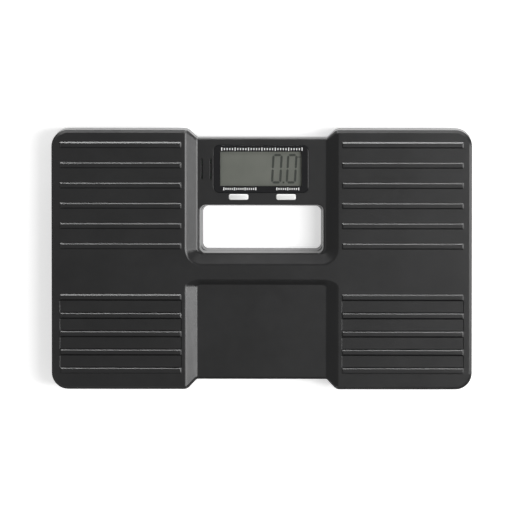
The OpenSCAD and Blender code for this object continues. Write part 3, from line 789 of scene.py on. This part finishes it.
def digit_segments(lit):
    """Outlines of the lit segments, named a to g clockwise from the top, with g in the middle."""
    low, middle, high = 0, DIGIT_H / 2, DIGIT_H
    ends = {
        "a": ((0, high), (DIGIT_W, high)), "b": ((DIGIT_W, high), (DIGIT_W, middle)),
        "c": ((DIGIT_W, middle), (DIGIT_W, low)), "d": ((0, low), (DIGIT_W, low)),
        "e": ((0, low), (0, middle)), "f": ((0, middle), (0, high)),
        "g": ((0, middle), (DIGIT_W, middle)),
    }
    return [segment_outline(Vector(ends[key][0]), Vector(ends[key][1])) for key in lit]


def add_plate(form, outline, corner):
    """Adds a thin plate with this outline, slanted, from its lower left corner in metres."""
    bottom = [
        form.verts.new((corner.x + (p.x + p.y * SLANT) * MM, corner.y + p.y * MM, corner.z))
        for p in outline
    ]
    top = [form.verts.new(vert.co + Vector((0, 0, SEGMENT_T))) for vert in bottom]
    form.faces.new(top)
    form.faces.new(reversed(bottom))
    for i, vert in enumerate(bottom):
        after = (i + 1) % len(bottom)
        form.faces.new((vert, bottom[after], top[after], top[i]))


def segment_shade():
    material, shader, place = new_material("lcd_segment", Specular_IOR_Level=0.2)
    depth = place.noise(1.2 * MM, 3)
    feed(shader, "Base Color", depth.colours((0.055, 0.06, 0.055), (0.08, 0.085, 0.075)))
    feed(shader, "Roughness", 0.4 + depth * 0.1)
    return material


segments = bmesh.new()
digit_y = window_middle.y - DIGIT_H * MM / 2
segment_z = glass_z + 0.02 * MM
for digit_x in (8.0, 19.6):
    corner = Vector((digit_x * MM, digit_y, segment_z))
    for outline in digit_segments("abcdef"):
        add_plate(segments, outline, corner)
dot = [Vector(p) for p in ((-0.7, -0.7), (0.7, -0.7), (0.7, 0.7), (-0.7, 0.7))]
add_plate(segments, dot, Vector((17 * MM, digit_y, segment_z)))
dash = [Vector(p) for p in ((-1.5, -0.35), (1.5, -0.35), (1.5, 0.35), (-1.5, 0.35))]
add_plate(segments, dash, Vector((29.2 * MM, digit_y + (DIGIT_H - 1.5) * MM, segment_z)))
bmesh.ops.recalc_face_normals(segments, faces=segments.faces)
segment_mesh = bpy.data.meshes.new("lcd_segments")
segments.to_mesh(segment_mesh)
segments.free()
digits = add_piece("lcd_segments", segment_mesh, segment_shade())
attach(digits, "housing")

# ---- Buttons ----
# Two glossy white ABS key caps stand a little proud of the well floor in their slots. A flange under
# the floor keeps each one in, and it presses the plunger of a switch on the board.

white_abs = moulded_plastic(
    "white_abs", (0.72, 0.72, 0.71), (0.8, 0.8, 0.79), 0.32, 0, 0.6 * MM, 0.004 * MM)
button_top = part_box("power_button")[1].z / MM


def button_ease(middle, high, low):
    return 0.55 if high > 0.9 and middle.z > button_top - 0.1 else 0


for body in ("unit_button", "power_button"):
    cap = eased_copy(body, body + "_cap", white_abs, button_ease)
    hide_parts(body)
    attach(cap, body)

# ---- Display carrier ----
# A white ABS carrier holds the glass above the board. Two silicone rubber strips, built up from thin
# black and clear layers, are squeezed under the glass and carry the signals up to its edges.

finish_node("lcd_frame", moulded_plastic(
    "carrier_white", (0.55, 0.55, 0.53), (0.66, 0.66, 0.64), 0.45, 0.3 * MM))


def layered_rubber(layer):
    """Silicone strip in which conducting and clear layers take turns along its length."""
    material, shader, place = new_material("layered_rubber")
    turns = place.axis("X").stripes(layer)
    feed(shader, "Base Color", turns.between(0.35, 0.65).colours((0.02, 0.02, 0.022), (0.42, 0.36, 0.38)))
    feed(shader, "Roughness", 0.45 + place.noise(0.8 * MM) * 0.2)
    return material


finish_node("lcd_connector_strips", layered_rubber(0.18 * MM))

# ---- Main board ----
# One glass fibre board carries everything: copper tracks under green lacquer, the controller under a
# cast blob of black resin, a buzzer in a black can, and two switches with steel tops under the keys.


def lacquered_board():
    material, shader, place = new_material("lacquered_board", Coat_Roughness=0.15)
    track_pitch = 0.9 * MM
    along = place.axis("Y").stripes(track_pitch)
    across = place.axis("X").stripes(track_pitch)
    region = place.noise(11 * MM, 1).between(0.49, 0.51)
    tracks = (along * region + across * (1 - region)).between(0.56, 0.64)
    routed = place.noise(5 * MM, 1).between(0.44, 0.47)
    weave = place.noise(0.35 * MM, 2)
    feed(shader, "Base Color", (tracks * routed * 0.75 + weave * 0.25).colours(
        (0.008, 0.06, 0.022), (0.035, 0.2, 0.075)))
    feed(shader, "Roughness", 0.3 + weave * 0.15)
    feed(shader, "Coat Weight", 0.4 + weave * 0.3)
    relief(shader, tracks * routed, 0.035 * MM)
    return material


def cast_resin():
    material, shader, place = new_material("cast_resin")
    ripple = place.noise(3 * MM, 2)
    dust = place.noise(0.3 * MM, 3)
    feed(shader, "Base Color", dust.colours((0.006, 0.006, 0.007), (0.02, 0.02, 0.02)))
    feed(shader, "Roughness", 0.12 + dust * 0.12)
    relief(shader, ripple, 0.15 * MM, 0.6 * MM)
    return material


def steel_topped(name, body_dark, body_light, steel_from):
    """Black nylon housing under a pressed steel plate, which starts at the given height."""
    material, shader, place = new_material(name)
    steel = place.axis("Z").between(steel_from - 0.05 * MM, steel_from + 0.05 * MM)
    grain = place.noise(0.5 * MM, 3)
    shade = grain.colours(body_dark, body_light)
    plate = grain.colours((0.45, 0.45, 0.46), (0.6, 0.6, 0.6))
    feed(shader, "Base Color", steel.colours(shade, plate))
    feed(shader, "Metallic", steel)
    feed(shader, "Roughness", 0.5 - steel * 0.2 + grain * 0.08)
    return material


finish_node("main_board", lacquered_board())
finish_node("controller_chip", cast_resin())
finish_node("buzzer", moulded_plastic(
    "buzzer_can", (0.01, 0.01, 0.01), (0.016, 0.016, 0.016), 0.35, 0.4 * MM))
plate_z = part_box("unit_switch")[1].z - 0.3 * MM
switch_finish = steel_topped("switch_body", (0.012, 0.012, 0.013), (0.02, 0.02, 0.02), plate_z)
plunger_nylon = moulded_plastic("plunger_nylon", (0.2, 0.12, 0.07), (0.27, 0.17, 0.1), 0.4, 0.2 * MM)
for key in ("unit", "power"):
    finish_node(key + "_switch", switch_finish)
    finish_node(key + "_switch_plunger", plunger_nylon)

# ---- Load cells ----
# Each corner stands on a stamped spring steel cell: a frame screwed to the base with a tongue in the
# middle that bends over the foot. Foil gauges on amber film are glued where the tongue bends most.


def rolled_metal(name, dark, light, rough, ease=0):
    """Bare or plated metal with rolling marks along X, and a slight uneven stain."""
    material, shader, place = new_material(name, Metallic=1)
    stretched = place.node("ShaderNodeMapping", None, {"Vector": place, "Scale": (0.06, 1, 1)})
    marks = stretched.noise(0.25 * MM, 4)
    stain = place.noise(9 * MM, 3)
    feed(shader, "Base Color", (marks * 0.4 + stain * 0.6).between(0.3, 0.7).colours(dark, light))
    feed(shader, "Roughness", rough - 0.08 + marks * 0.12 + stain * 0.06)
    relief(shader, marks, 0.004 * MM, ease)
    return material


def gauge_film():
    material, shader, place = new_material("gauge_film", Coat_Weight=0.5)
    foil_pitch = 0.22 * MM
    grid = place.axis("X").stripes(foil_pitch).between(0.45, 0.55)
    cloud = place.noise(2 * MM, 2)
    film = cloud.colours((0.3, 0.09, 0.012), (0.42, 0.15, 0.025))
    feed(shader, "Base Color", (grid * 0.7).colours(film, (0.5, 0.42, 0.33)))
    feed(shader, "Roughness", 0.25 + cloud * 0.15)
    return material


CORNERS = ("rear_left", "rear_right", "front_left", "front_right")
cell_steel = rolled_metal("cell_steel", (0.42, 0.43, 0.45), (0.56, 0.57, 0.58), 0.34, 0.2 * MM)
for corner in CORNERS:
    finish_node(corner + "_load_cell", cell_steel)
finish_node("strain_gauges", gauge_film())

# ---- Feet ----
# Each foot is a round black ABS cap clipped under the tongue of its load cell. A moulded rubber disc
# with three raised treads is glued into its underside and stands on the floor.

foot_abs = moulded_plastic("foot_abs", (0.009, 0.009, 0.0095), (0.013, 0.013, 0.0135), 0.42, 0.8 * MM)
pad_low, pad_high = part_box("front_left_foot_pad")
PAD_R = (pad_high.x - pad_low.x) / 2
PAD_T = pad_high.z - pad_low.z
GROOVE_DEPTH = 0.5 * MM
GROOVE_SLOPE = 0.4 * MM
GROOVES = ((5 * MM, 6.2 * MM), (9.6 * MM, 10.8 * MM))
PAD_ROUND = 0.7 * MM


def tread_profile():
    """Radius and height of the disc's outline, from the middle of its underside to its top."""
    profile = [(0, 0)]
    for inner, outer in GROOVES:
        profile += [(inner - GROOVE_SLOPE, 0), (inner, GROOVE_DEPTH)]
        profile += [(outer, GROOVE_DEPTH), (outer + GROOVE_SLOPE, 0)]
    for turn in np.linspace(0, math.pi / 2, 6):
        profile.append((PAD_R - PAD_ROUND * (1 - math.sin(turn)), PAD_ROUND * (1 - math.cos(turn))))
    return profile + [(PAD_R, PAD_T), (0, PAD_T)]


def turned_mesh(name, profile, middle, steps=72):
    """A closed solid of revolution about an upright axis through middle."""
    form = bmesh.new()
    rings = []
    for radius, height in profile:
        turns = np.linspace(0, 2 * math.pi, steps, endpoint=False) if radius > 0 else (0,)
        rings.append([form.verts.new((
            middle.x + radius * math.cos(turn), middle.y + radius * math.sin(turn), middle.z + height))
            for turn in turns])
    for lower, upper in zip(rings, rings[1:]):
        for i in range(steps):
            corners = [lower[(i + 1) % len(lower)], lower[i % len(lower)]]
            corners += [upper[i % len(upper)], upper[(i + 1) % len(upper)]]
            face = form.faces.new(dict.fromkeys(corners))
            face.smooth = True
    bmesh.ops.recalc_face_normals(form, faces=form.faces)
    mesh = bpy.data.meshes.new(name)
    form.to_mesh(mesh)
    form.free()
    return mesh


def tread_rubber():
    material, shader, place = new_material("tread_rubber", Specular_IOR_Level=0.35)
    bloom = place.noise(4 * MM, 4)
    grit = place.noise(0.3 * MM, 3)
    patches = bloom * 0.6 + grit * 0.4
    feed(shader, "Base Color", patches.colours((0.02, 0.02, 0.02), (0.05, 0.05, 0.049)))
    feed(shader, "Roughness", 0.72 + bloom * 0.15)
    relief(shader, grit, 0.02 * MM)
    return material


rubber = tread_rubber()
for corner in CORNERS:
    finish_node(corner + "_foot", foot_abs)
    low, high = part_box(corner + "_foot_pad")
    middle = Vector(((low.x + high.x) / 2, (low.y + high.y) / 2, low.z))
    tread = weighted_normals(add_piece(
        corner + "_tread", turned_mesh(corner + "_tread", tread_profile(), middle), rubber), 35)
    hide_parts(corner + "_foot_pad")
    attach(tread, corner + "_foot")

# ---- Leads ----
# Flat cables run over the floor of the base: a red one from each load cell and a black one from the
# battery bay. Their PVC is slightly glossy, with a faint drawn grain.


def drawn_pvc(name, dark, light):
    material, shader, place = new_material(name)
    streak = place.noise(1.2 * MM, 4)
    feed(shader, "Base Color", streak.between(0.3, 0.7).colours(dark, light))
    feed(shader, "Roughness", 0.3 + streak * 0.2)
    relief(shader, streak, 0.02 * MM, 0.3 * MM)
    return material


red_pvc = drawn_pvc("red_pvc", (0.3, 0.02, 0.015), (0.4, 0.035, 0.025))
for corner in CORNERS:
    finish_node(corner + "_lead", red_pvc)
finish_node("battery_lead", drawn_pvc("black_pvc", (0.008, 0.008, 0.009), (0.018, 0.018, 0.018)))

# ---- Batteries and their door ----
# Two AAA cells lie side by side in a bay in the base, between nickel plated contact plates and coil
# springs. A black ABS door slides shut over them, with finger grooves in its underside.


def battery_finish(name, tip_side):
    """Printed sleeve over a steel can: a dark body, a copper band at the tip end and bare ends."""
    material, shader, place = new_material(name)
    low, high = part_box(name)
    ends = (low.x, high.x) if tip_side > 0 else (high.x, low.x)
    length = high.x - low.x
    from_flat = (place.axis("X") - ends[0]) * (tip_side / length)
    can = 1 - from_flat.between(0.012, 0.02) * (1 - from_flat.between(0.968, 0.972))
    band = from_flat.between(0.71, 0.712)
    scuff = place.noise(1.5 * MM, 5)
    dark_print = scuff.colours((0.02, 0.035, 0.06), (0.03, 0.05, 0.08))
    copper_print = scuff.colours((0.42, 0.19, 0.08), (0.5, 0.24, 0.11))
    steel = scuff.colours((0.5, 0.5, 0.5), (0.66, 0.65, 0.63))
    feed(shader, "Base Color", can.colours(band.colours(dark_print, copper_print), steel))
    feed(shader, "Metallic", can * 0.6 + band * 0.4)
    feed(shader, "Roughness", 0.24 + scuff * 0.14)
    return material


for name, tip_side in (("left_battery", -1), ("right_battery", 1)):
    finish_node(name, battery_finish(name, tip_side))
nickel_steel = rolled_metal("nickel_steel", (0.55, 0.54, 0.5), (0.68, 0.67, 0.62), 0.26)
finish_node("battery_plates", nickel_steel)
door_abs = moulded_plastic("door_abs", (0.0085, 0.0085, 0.009), (0.0115, 0.0115, 0.012), 0.38, 0.5 * MM)
finish_node("battery_door", door_abs)


def loose_boxes(node):
    """Lowest and highest corners of each separate solid of a CAD node."""
    form = bmesh.new()
    form.from_mesh(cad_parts[node].data)
    bmesh.ops.remove_doubles(form, verts=form.verts, dist=0.002 * MM)
    unseen = set(form.verts)
    boxes = []
    while unseen:
        reached = [unseen.pop()]
        for vert in reached:
            for edge in vert.link_edges:
                other = edge.other_vert(vert)
                if other in unseen:
                    unseen.remove(other)
                    reached.append(other)
        places = np.array([vert.co for vert in reached])
        boxes.append((Vector(places.min(axis=0)), Vector(places.max(axis=0))))
    form.free()
    return sorted(boxes, key=lambda box: tuple(box[0]))


def coil_tree(material):
    """Nodes for a tapered coil spring on a square contact plate, along X from the plate."""
    tree, given, build = new_tree(
        "coil_springs", Vector=("Place", "Turned"), Float=(
            "Base radius", "Tip radius", "Length", "Turns", "Wire radius", "Plate size",
            "Plate thickness"))
    coil = build("GeometryNodeCurveSpiral", None, {
        "Resolution": 20, "Rotations": given["Turns"], "Start Radius": given["Base radius"],
        "End Radius": given["Tip radius"], "Height": given["Length"]})
    wire = build("GeometryNodeCurvePrimitiveCircle", {"mode": "RADIUS"}, {
        "Resolution": 8, "Radius": given["Wire radius"]})
    drawn = build("GeometryNodeCurveToMesh", None, {
        "Curve": coil, "Profile Curve": wire, "Fill Caps": True})
    plate_size = build("ShaderNodeCombineXYZ", None, {
        0: given["Plate size"], 1: given["Plate size"], 2: given["Plate thickness"]})
    plate = build("GeometryNodeMeshCube", None, {"Size": plate_size})
    below = build("ShaderNodeCombineXYZ", None, {2: given["Plate thickness"] * -0.5})
    seated = build("GeometryNodeTransform", None, {"Geometry": plate, "Translation": below})
    placed = [build("GeometryNodeTransform", None, {
        "Geometry": part, "Translation": given["Place"], "Rotation": given["Turned"]})
        for part in (seated, drawn)]
    return finish_tree(tree, placed, material)


WIRE_R = 0.3 * MM
PLATE_T = 0.4 * MM
coil_springs = coil_tree(nickel_steel)
springs = []
for low, high in loose_boxes("battery_springs"):
    at_left = high.x < 0
    plate_x = low.x + PLATE_T if at_left else high.x - PLATE_T
    springs.append(node_piece("spring", coil_springs, {
        "Base radius": 2.7 * MM, "Tip radius": 1.8 * MM, "Length": high.x - low.x - PLATE_T - 2 * WIRE_R,
        "Turns": 4.5, "Wire radius": WIRE_R, "Plate size": high.y - low.y, "Plate thickness": PLATE_T,
        "Place": (plate_x, (low.y + high.y) / 2, (low.z + high.z) / 2),
        "Turned": (0, math.pi / 2 * (1 if at_left else -1), 0)}, nickel_steel))
both_springs = bmesh.new()
for spring in springs:
    both_springs.from_mesh(spring.data)
    bpy.data.objects.remove(spring)
for face in both_springs.faces:
    face.smooth = len(face.verts) == 4 and face.calc_area() < 1e-6
spring_mesh = bpy.data.meshes.new("contact_springs")
both_springs.to_mesh(spring_mesh)
both_springs.free()
contact_springs = add_piece("contact_springs", spring_mesh, nickel_steel)
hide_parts("battery_springs")
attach(contact_springs, "housing")

# ---- Screws ----
# Zinc plated steel screws with a cross recess and a rolled thread: long ones close the case from
# below, short ones hold the load cell frames, and four hold the board up under the cover.


def screw_tree(material):
    """Nodes that put an upright screw, head down, at every point of the mesh that they are given."""
    tree, given, build = new_tree(
        "cross_recess_screws", Geometry=("Seats",),
        Float=("Head width", "Head height", "Shank width", "Shank length"))
    head_w, head_h = given["Head width"], given["Head height"]
    shank_w, shank_l = given["Shank width"], given["Shank length"]

    def moved_up(part, rise):
        offset = build("ShaderNodeCombineXYZ", None, {2: rise})
        return build("GeometryNodeTransform", None, {"Geometry": part, "Translation": offset})

    dome_share = 0.22
    dome_power = 4
    head = build("GeometryNodeMeshCylinder", None, {
        "Vertices": 40, "Side Segments": 6, "Radius": head_w * 0.5, "Depth": head_h})
    place = build("GeometryNodeInputPosition")
    shrink = 1 - (0.5 - place.axis("Z") / head_h) ** dome_power * dome_share
    domed_place = build("ShaderNodeCombineXYZ", None, {
        0: place.axis("X") * shrink, 1: place.axis("Y") * shrink, 2: place.axis("Z")})
    domed = build("GeometryNodeSetPosition", None, {"Geometry": head, "Position": domed_place})

    recess_length = head_w * 0.52
    recess_width = head_w * 0.13
    cross = tree.nodes.new("GeometryNodeMeshBoolean")
    cross.operation = "UNION"
    for across, along in ((recess_length, recess_width), (recess_width, recess_length)):
        size = build("ShaderNodeCombineXYZ", None, {0: across, 1: along, 2: head_h})
        arm = build("GeometryNodeMeshCube", None, {"Size": size})
        tree.links.new(arm.socket, cross.inputs["Mesh 2"])
    recess = moved_up(Field(tree, cross.outputs["Mesh"]), head_h * -0.45)
    cut = build("GeometryNodeMeshBoolean", {"operation": "DIFFERENCE"}, {
        "Mesh 1": domed, "Mesh 2": recess})

    core_r = shank_w * 0.4
    shank = build("GeometryNodeMeshCylinder", None, {"Vertices": 24, "Radius": core_r, "Depth": shank_l})
    helix = build("GeometryNodeCurveSpiral", None, {
        "Resolution": 16, "Rotations": shank_l / (shank_w * 0.42), "Start Radius": core_r,
        "End Radius": shank_w * 0.36, "Height": shank_l * 0.96})
    ridge = build("GeometryNodeCurvePrimitiveCircle", {"mode": "RADIUS"}, {
        "Resolution": 4, "Radius": shank_w * 0.1})
    thread = build("GeometryNodeCurveToMesh", None, {
        "Curve": helix, "Profile Curve": ridge, "Fill Caps": True})
    joined = tree.nodes.new("GeometryNodeJoinGeometry")
    for part in (thread, moved_up(shank, shank_l * 0.5), moved_up(cut, head_h * -0.5)):
        tree.links.new(part.socket, joined.inputs[0])
    standing = build("GeometryNodeInstanceOnPoints", None, {
        "Points": given["Seats"], "Instance": Field(tree, joined.outputs[0])})
    return finish_tree(tree, [standing], material)


zinc_steel = rolled_metal("zinc_steel", (0.48, 0.49, 0.52), (0.64, 0.64, 0.65), 0.28)
screws_tree = screw_tree(zinc_steel)
SCREWS = {
    "case_screws": {"head_h": 2, "shank_w": 2.6},
    "load_cell_screws": {"head_h": 1.2, "shank_w": 2},
    "board_screws": {"head_h": 1.4, "shank_w": 1.8},
}
for node, size in SCREWS.items():
    boxes = loose_boxes(node)
    seats = bpy.data.meshes.new(node + "_seats")
    seats.from_pydata([
        ((low.x + high.x) / 2, (low.y + high.y) / 2, low.z + size["head_h"] * MM)
        for low, high in boxes], [], [])
    low, high = boxes[0]
    name = "cross_recess_" + node
    screws = node_piece(name, screws_tree, {
        "Head width": high.x - low.x, "Head height": size["head_h"] * MM,
        "Shank width": size["shank_w"] * MM, "Shank length": high.z - low.z - size["head_h"] * MM,
    }, zinc_steel, seats)
    screws.data.set_sharp_from_angle(angle=math.radians(40))
    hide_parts(node)
    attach(screws, "housing")

# ---- Floor, light and camera ----
# A plain pale floor runs past the view. Two low strips, beyond the display edge and on the right,
# catch the sloping sides of the ribs. A high soft box on the right and an even sky give the fill.

bpy.ops.mesh.primitive_plane_add(size=6)
floor = bpy.context.object
floor.name = "floor"
floor_white, floor_shader, floor_place = new_material("floor_white", Specular_IOR_Level=0.1)
paper = floor_place.noise(80 * MM, 3)
feed(floor_shader, "Base Color", paper.colours((0.9, 0.9, 0.9), (0.93, 0.93, 0.93)))
feed(floor_shader, "Roughness", 0.8 + paper * 0.1)
floor_shader.inputs["Emission Color"].default_value = (1, 1, 1, 1)
floor_shader.inputs["Emission Strength"].default_value = 0.5
floor.data.materials.append(floor_white)
floor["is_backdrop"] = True


def soft_box(name, place, aim, width, height, watts):
    data = bpy.data.lights.new(name, "AREA")
    data.shape = "RECTANGLE"
    data.size = width
    data.size_y = height
    data.energy = watts
    lamp = bpy.data.objects.new(name, data)
    bpy.context.scene.collection.objects.link(lamp)
    lamp.location = place
    lamp.rotation_euler = (Vector(aim) - Vector(place)).to_track_quat("-Z", "Y").to_euler()


soft_box("key_box", place=(1.2, 0, 1.8), aim=(0, 0, 0), width=0.7, height=1.6, watts=34)
soft_box("far_strip", place=(0, 2.4, 0.12), aim=(0, 0, 0.03), width=4.4, height=0.2, watts=115)
soft_box("right_strip", place=(2.4, 0, 0.24), aim=(0, 0, 0.03), width=0.4, height=2.4, watts=20)
sky = bpy.data.worlds.new("studio")
bpy.context.scene.world = sky
sky.use_nodes = True
even_light = sky.node_tree.nodes["Background"].inputs
even_light["Color"].default_value = (1, 1, 1, 1)
even_light["Strength"].default_value = 0.36
bpy.context.scene.view_settings.view_transform = "Standard"

VIEW_DISTANCE = 6
VIEW_WIDTH = 0.4096
TILT_BACK = math.radians(4.2)
TILT_RIGHT = math.radians(1.07)
aim = Vector((-0.5 * MM, -0.9 * MM, pad_z * MM))
camera_data = bpy.data.cameras.new("camera")
camera = bpy.data.objects.new("camera", camera_data)
bpy.context.scene.collection.objects.link(camera)
away = Vector((math.sin(TILT_RIGHT), math.sin(TILT_BACK), math.cos(TILT_BACK))).normalized()
camera.location = aim + away * VIEW_DISTANCE
right = Vector((0, 1, 0)).cross(away).normalized()
up = away.cross(right)
camera.rotation_euler = Matrix((right, up, away)).transposed().to_euler()
camera_data.sensor_width = 36
camera_data.lens = camera_data.sensor_width * VIEW_DISTANCE / VIEW_WIDTH
camera_data.clip_end = 20
bpy.context.scene.camera = camera

boxes = {"cad": cad_box, "visual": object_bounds()}
